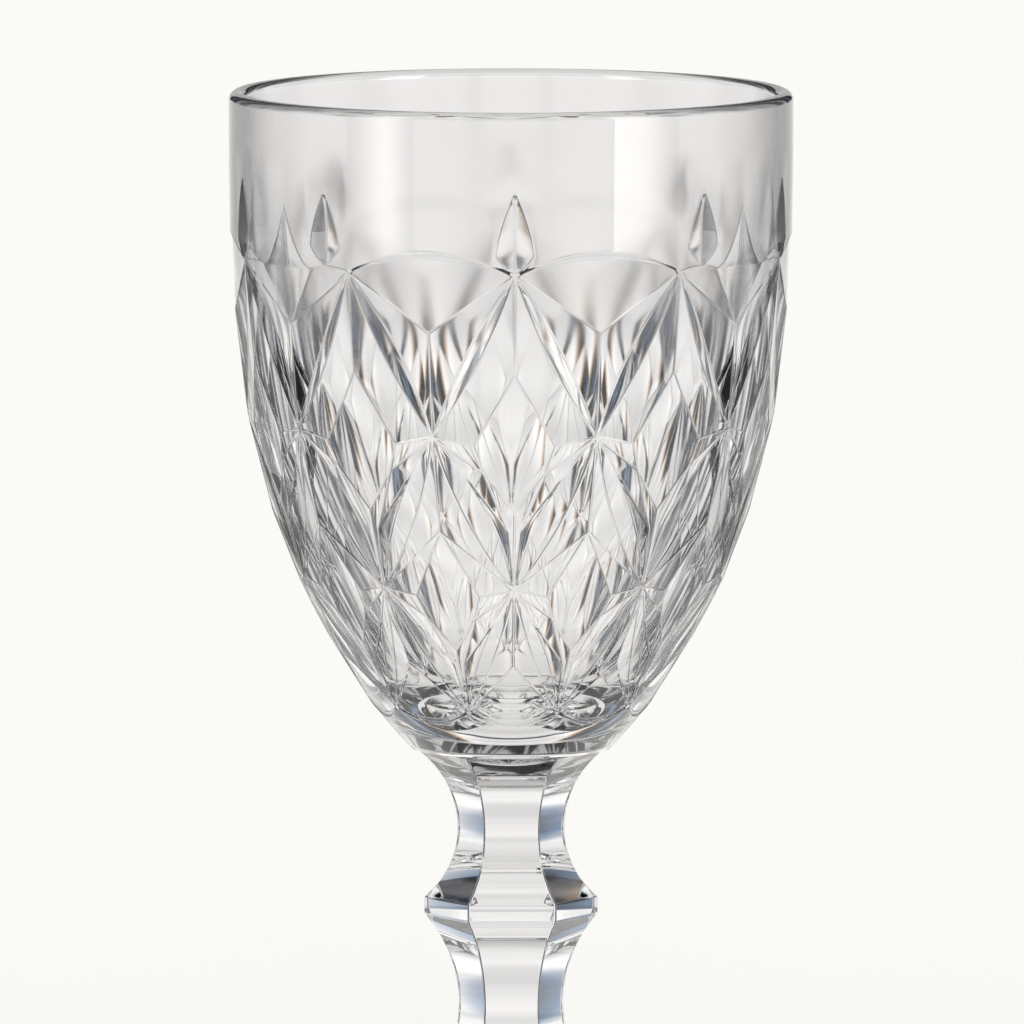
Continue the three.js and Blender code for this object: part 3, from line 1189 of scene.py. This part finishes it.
    def carve(self, bm: Mesh) -> None:
        """Build the whole cut wall, open at its upper and lower ring.

        Args:
            bm: Empty mesh that takes the wall.
        """
        bm.faces.layers.int.new("facet")
        for i, (gap, stand) in enumerate(QUARTER):
            before = set(bm.verts)
            self.half_step_mesh(bm, gap, stand)
            made = [vert for vert in bm.verts if vert not in before]
            way = -1 if i % 2 else 1
            turn = Matrix.Rotation((i + i % 2) * self.half_step, 3, "Z")
            bmesh.ops.scale(bm, vec=(way, 1, 1), verts=made)
            bmesh.ops.rotate(bm, cent=(0, 0, 0), matrix=turn, verts=made)
        for axis in ("X", "Y"):
            everything = bm.verts[:] + bm.edges[:] + bm.faces[:]
            bmesh.ops.mirror(
                bm, geom=everything, matrix=Matrix(), merge_dist=TOUCH_MM, axis=axis
            )
        bmesh.ops.remove_doubles(bm, verts=bm.verts, dist=MERGE_MM)

    def creases(self, bm: Mesh) -> list[Edge]:
        """Find the edges between facets, and the steep ridges within them.

        Args:
            bm: Mesh with the facets.

        Returns:
            The edges that the fire polish has rounded.
        """
        layer = bm.faces.layers.int["facet"]
        found = []
        for edge in bm.edges:
            if len(edge.link_faces) != 2:
                continue
            numbers = {face[layer] for face in edge.link_faces}
            turned = edge.calc_face_angle(0.0)
            along = edge.verts[0].co - edge.verts[1].co
            border = len(numbers) == 2 and turned > self.least_turn
            ridge = turned > self.ridge_turn and abs(along.z) > self.ridge_rise * along.length
            if numbers != {Facet.PLAIN} and (border or ridge):
                found.append(edge)
        return found


@dataclass
class Bowl:
    """The bowl: plain rim, cut wall, plain base and the round cup inside."""

    finishes: list[bpy.types.Material]
    bottom: float = 61.7
    height: float = 98.299
    rim_radius: float = 41.999
    base_radius: float = 14.7
    straight_wall: float = 10.0
    rim_wall: float = 2.6
    base_thickness: float = 6.5
    floor_radius: float = 17.0
    floor_tilt: float = 43.0
    plain_band: float = 24.1
    plain_base: float = 7.5
    stem_corner_radius: float = 14.4
    bead: float = 0.08
    bead_flank_share: float = 0.55
    edge_strips: int = 4
    band_steps: int = 3
    cup_steps: int = 40
    arc_steps: int = 16
    base_steps: int = 5
    pattern: CutPattern = field(init=False)

    def __post_init__(self) -> None:
        """Lay the cut pattern between the plain band and the plain base."""
        wall = BentWall(
            self.top - self.straight_wall, self.rim_radius, self.bottom, self.base_radius
        )
        self.pattern = CutPattern(wall, self.top - self.plain_band, self.bottom + self.plain_base)

    @property
    def top(self) -> float:
        """Height of the rim."""
        return self.bottom + self.height

    def cup_outline(self) -> Outline:
        """Give the outline from the plain wall over the lip and down to the middle of the cup.

        Returns:
            Radius and height of each point.
        """
        lip = self.rim_wall / 2
        inner_rim = self.rim_radius - self.rim_wall
        tilt = math.radians(self.floor_tilt)
        lowest = self.bottom + self.base_thickness
        floor_edge = lowest + self.floor_radius * math.tan(tilt / 2)
        floor_bend = self.floor_radius / math.sin(tilt)
        inside = BentWall(self.top, inner_rim, floor_edge, self.floor_radius)
        lip_low, ring = self.top - lip, self.pattern.upper_ring
        plain = [mix(ring, lip_low, i / self.band_steps) for i in range(self.band_steps)]
        heights = [mix(lip_low, floor_edge, i / self.cup_steps) for i in range(1, self.cup_steps)]
        floor = arc(
            (0.0, lowest + floor_bend), floor_bend, self.floor_tilt - 90, -90, self.arc_steps
        )
        return [
            *((self.pattern.wall.radius(z), z) for z in plain),
            *arc((self.rim_radius - lip, lip_low), lip, 0, 180, self.arc_steps),
            *((inside.radius(z), z) for z in heights),
            *floor[:-1],
            (0.0, lowest),
        ]

    def base_outline(self) -> Outline:
        """Give the outline of the plain base under the cuts.

        Returns:
            Radius and height of each point from the cuts down.
        """
        shares = [i / self.base_steps for i in range(self.base_steps + 1)]
        heights = [mix(self.pattern.lower_ring, self.bottom, share) for share in shares]
        return [(self.pattern.wall.radius(z), z) for z in heights]

    def build(self) -> bpy.types.Object:
        """Model the bowl and dress it in glass.

        Returns:
            The finished piece.
        """
        bm = bmesh.new()
        self.pattern.carve(bm)
        sides = 2 * self.pattern.stars_round * self.pattern.columns
        for face in turn_outline(bm, self.cup_outline(), sides):
            if face.calc_center_median().xy.length < self.rim_radius - self.rim_wall:
                face.material_index = Skin.CUP
        turn_outline(bm, self.base_outline(), sides)
        bmesh.ops.remove_doubles(bm, verts=bm.verts, dist=MERGE_MM)
        close_with_hexagon(bm, open_edges(bm, self.bottom), self.stem_corner_radius)
        bmesh.ops.recalc_face_normals(bm, faces=bm.faces)
        self.soften(bm)
        return finish_piece("bowl", bm, self.finishes)

    def soften(self, bm: Mesh) -> None:
        """Round the cut edges and raise the fine line that the mould's joints leave on them.

        Args:
            bm: Closed mesh of the bowl.
        """
        made = round_edges(
            bm, self.pattern.creases(bm), self.pattern.edge_round, self.edge_strips
        )
        strips = set(made["faces"])
        inner = {v for v in made["verts"] if all(face in strips for face in v.link_faces)}
        bm.normal_update()
        lifts = {}
        for vert in inner:
            crest = all(e.other_vert(vert) in inner for e in vert.link_edges)
            lifts[vert] = vert.normal * self.bead * (1.0 if crest else self.bead_flank_share)
        for vert, lift in lifts.items():
            vert.co += lift
            reach = vert.co.xy.length
            if reach > self.rim_radius:
                vert.co.xy *= self.rim_radius / reach


@dataclass
class Stem:
    """The six-sided stem: two hollow waists with a knop between them."""

    finishes: list[bpy.types.Material]
    low: float = 10.0
    length: float = 51.7
    sides: int = 6
    top_radius: float = 14.4
    end_radius: float = 13.0
    knop_radius: float = 13.0
    knop_band: float = 2.6
    knop_height: float = 28.1
    upper_waist_radius: float = 8.05
    upper_waist_rise: float = 10.3
    lower_waist_radius: float = 7.9
    lower_waist_drop: float = 13.4
    edge_round: float = 0.3
    edge_strips: int = 3
    sharp_turn: float = 0.3
    arc_steps: int = 16

    def waist(self, waist: tuple[float, float], end: tuple[float, float]) -> Outline:
        """Lay the arc that stands upright at a waist and ends at a corner.

        Args:
            waist: Radius and height of the waist.
            end: Radius and height of the corner.

        Returns:
            Radius and height of each point from the waist on.
        """
        gain, rise = end[0] - waist[0], end[1] - waist[1]
        radius = (gain**2 + rise**2) / (2 * gain)
        sweep = math.degrees(math.asin(rise / radius))
        return arc((waist[0] + radius, waist[1]), radius, 180, 180 - sweep, self.arc_steps)

    def outline(self) -> Outline:
        """Give the outline of the stem's corners.

        Returns:
            Radius and height of each point from the foot up to the bowl.
        """
        band_low = self.low + self.knop_height - self.knop_band / 2
        band_top = band_low + self.knop_band
        lower = (self.lower_waist_radius, band_low - self.lower_waist_drop)
        upper = (self.upper_waist_radius, band_top + self.upper_waist_rise)
        return [
            *self.waist(lower, (self.end_radius, self.low))[::-1],
            *self.waist(lower, (self.knop_radius, band_low))[1:],
            *self.waist(upper, (self.knop_radius, band_top))[::-1],
            *self.waist(upper, (self.top_radius, self.low + self.length))[1:],
        ]

    def build(self) -> bpy.types.Object:
        """Model the stem and dress it in glass.

        Returns:
            The finished piece.
        """
        bm = bmesh.new()
        turn_outline(bm, self.outline(), self.sides, math.pi / self.sides)
        bmesh.ops.remove_doubles(bm, verts=bm.verts, dist=MERGE_MM)
        for height in (self.low, self.low + self.length):
            bmesh.ops.edgeloop_fill(bm, edges=open_edges(bm, height), mat_nr=Skin.FUSED)
        bmesh.ops.recalc_face_normals(bm, faces=bm.faces)
        sharp = [
            e
            for e in bm.edges
            if e.calc_face_angle(0.0) > self.sharp_turn
            and all(face.material_index == Skin.GLASS for face in e.link_faces)
        ]
        round_edges(bm, sharp, self.edge_round, self.edge_strips)
        return finish_piece("stem", bm, self.finishes)


@dataclass
class Foot:
    """The round foot: a seat for the stem, a hollow slope, a rounded edge and a resting ring."""

    finishes: list[bpy.types.Material]
    radius: float = 37.0
    height: float = 10.0
    edge: float = 3.6
    stem_corner_radius: float = 13.0
    seat_margin: float = 0.4
    rest_ring_width: float = 8.0
    punt_rise: float = 2.0
    knee_share: float = 0.3
    knee_rise: float = 1.15
    sides: int = 180
    arc_steps: int = 16
    slope_steps: int = 24

    def outline(self) -> Outline:
        """Give the outline from the hollow underneath round the edge up to the seat.

        Returns:
            Radius and height of each point.
        """
        half = self.edge / 2
        seat = self.stem_corner_radius + self.seat_margin
        edge = self.radius - half
        ring = edge - self.rest_ring_width
        bend = (ring**2 + self.punt_rise**2) / (2 * self.punt_rise)
        sweep = math.degrees(math.asin(ring / bend))
        punt = arc((0.0, self.punt_rise - bend), bend, 90, 90 - sweep, self.arc_steps)
        knee = (mix(seat, edge, self.knee_share), self.edge * self.knee_rise)
        corners = ((seat, self.height), knee, (edge, self.edge))
        slope = []
        for i in range(1, self.slope_steps + 1):
            t = i / self.slope_steps
            weights = (t * t, 2 * t * (1 - t), (1 - t) ** 2)
            slope.append(
                tuple(sum(w * c[k] for w, c in zip(weights, corners)) for k in (0, 1))
            )
        return [
            (0.0, self.punt_rise),
            *punt[1:-1],
            (ring, 0.0),
            *arc((edge, half), half, -90, 90, self.arc_steps),
            *slope,
        ]

    def build(self) -> bpy.types.Object:
        """Model the foot and dress it in glass.

        Returns:
            The finished piece.
        """
        bm = bmesh.new()
        turn_outline(bm, self.outline(), self.sides)
        bmesh.ops.remove_doubles(bm, verts=bm.verts, dist=MERGE_MM)
        close_with_hexagon(bm, open_edges(bm, self.height), self.stem_corner_radius)
        return finish_piece("foot", bm, self.finishes)


@dataclass
class Studio:
    """Pale table, striped room, two soft boxes, a card glowing with painted lamp light and the
    photograph's camera.

    The table is not seen through the glass, and the boxes and the card show only as gleams.
    The camera's lengths are in millimetres, as the glass is.
    """

    aim_height: float = 97.0
    aim_side: float = 0.15
    distance: float = 3500.0
    elevation: float = 5.7
    azimuth: float = -0.8
    frame_width: float = 152.5
    sensor_width: float = 36.0
    view_end: float = 100_000.0
    floor_half_size: float = 12.0
    floor_drop: float = 0.0002
    box_half_width: float = 0.2
    box_half_height: float = 0.4
    box_distance: float = 0.75
    box_angle: float = 55.0
    left_fade: float = 0.17
    right_fade: float = 0.02
    card_radius: float = 0.5
    card_sides: int = 64
    daylight: float = 2.18
    daylight_spread: float = 150.0
    daylight_colour: str = "fffefb"
    glass_bounces: int = 24
    join_bounces: int = 16

    def build(self) -> None:
        """Set up floor, light and camera."""
        self.floor()
        self.soft_box(-self.box_angle, self.left_fade)
        self.soft_box(self.box_angle, self.right_fade)
        self.lay_glow_card()
        self.light()
        self.camera()

    def stand(
        self, name: str, bm: Mesh, finish: bpy.types.Material, hidden_from: tuple[Ray, ...]
    ) -> None:
        """Put a studio piece into the scene.

        Args:
            name: Name of the piece.
            bm: Its mesh in metres, which is freed.
            finish: Its material.
            hidden_from: Light paths that don't see it.
        """
        mesh = bpy.data.meshes.new(name)
        bm.to_mesh(mesh)
        bm.free()
        mesh.materials.append(finish)
        piece = bpy.data.objects.new(name, mesh)
        bpy.context.scene.collection.objects.link(piece)
        for ray in hidden_from:
            setattr(piece, ray.value, False)

    def floor(self) -> None:
        """Lay the pale matt table top."""
        bm = bmesh.new()
        bmesh.ops.create_grid(bm, x_segments=1, y_segments=1, size=self.floor_half_size)
        bmesh.ops.translate(bm, verts=bm.verts, vec=(0, 0, -self.floor_drop))
        self.stand("table_top", bm, MattLaminate().material(), (Ray.TRANSMISSION,))

    def soft_box(self, angle: float, inner_fade: float) -> None:
        """Stand a soft box on the table, with its cloth towards the glass.

        Args:
            angle: Angle from the front towards +X, in degrees.
            inner_fade: Width of the fade at the side nearer to the camera.
        """
        bm = bmesh.new()
        bmesh.ops.create_grid(bm, x_segments=1, y_segments=1, size=1.0)
        turn = Matrix.Rotation(math.radians(angle), 4, "Z")
        place = (
            turn
            @ Matrix.Translation((0, -self.box_distance, self.box_half_height))
            @ Matrix.Rotation(math.pi / 2, 4, "X")
            @ Matrix.Diagonal((self.box_half_width, self.box_half_height, 1, 1))
        )
        bmesh.ops.transform(bm, matrix=place, verts=bm.verts)
        outward = turn.to_3x3() @ Vector((math.copysign(1.0, angle), 0, 0))
        cloth = LampCloth(outward, self.box_half_width, inner_fade)
        self.stand(f"soft_box_{angle:.0f}", bm, cloth.material(), GLEAM_ONLY)

    def lay_glow_card(self) -> None:
        """Lay a round card on the table that glows with painted lamp light, seen only as a gleam
        on the facets.
        """
        bm = bmesh.new()
        bmesh.ops.create_circle(
            bm, cap_ends=True, segments=self.card_sides, radius=self.card_radius
        )
        self.stand("glow_card_painted_light", bm, GlowCardWithPaintedLight().material(), GLEAM_ONLY)

    def light(self) -> None:
        """Light the glass from the room and the table from above."""
        scene = bpy.context.scene
        scene.world = StripedRoom().world()
        scene.view_settings.view_transform = "Standard"
        # Light crosses many walls of glass before it leaves the cuts.
        scene.cycles.max_bounces = self.glass_bounces
        scene.cycles.transmission_bounces = self.glass_bounces
        scene.cycles.transparent_max_bounces = self.join_bounces
        lamp = bpy.data.lights.new("soft_daylight", "SUN")
        lamp.angle = math.radians(self.daylight_spread)
        lamp.energy = self.daylight
        lamp.color = linear(self.daylight_colour)[:3]
        day = bpy.data.objects.new("soft_daylight", lamp)
        scene.collection.objects.link(day)
        for ray in (Ray.GLOSSY, Ray.TRANSMISSION):
            setattr(day, ray.value, False)

    def camera(self) -> None:
        """Put the camera where the photograph was taken from."""
        lens = bpy.data.cameras.new("camera")
        lens.sensor_width = self.sensor_width
        lens.lens = self.sensor_width * self.distance / self.frame_width
        lens.clip_end = self.view_end * MM
        camera = bpy.data.objects.new("camera", lens)
        bpy.context.scene.collection.objects.link(camera)
        tilt = math.radians(self.elevation)
        aim = Vector((self.aim_side, 0.0, self.aim_height)) * MM
        back = at_angle(math.radians(self.azimuth), math.cos(tilt), math.sin(tilt))
        camera.location = aim + back * self.distance * MM
        camera.rotation_euler = (-back).to_track_quat("-Z", "Y").to_euler()
        bpy.context.scene.camera = camera


def main() -> None:
    """Build the glass and its studio, and note the sizes."""
    logging.basicConfig(level=logging.INFO, format="%(name)s: %(message)s")
    cup = ClearPressedGlass("plunger_pressed_glass", polish=0.05, bloom=0.02, brim_haze=0.13)
    finishes = [ClearPressedGlass().material(), FusedGlass().material(), cup.material()]
    for part in (Bowl(finishes), Stem(finishes), Foot(finishes)):
        piece = part.build()
        LOG.info("%s: %d faces", piece.name, len(piece.data.polygons))
    Studio().build()


if __name__ == "__main__":
    main()
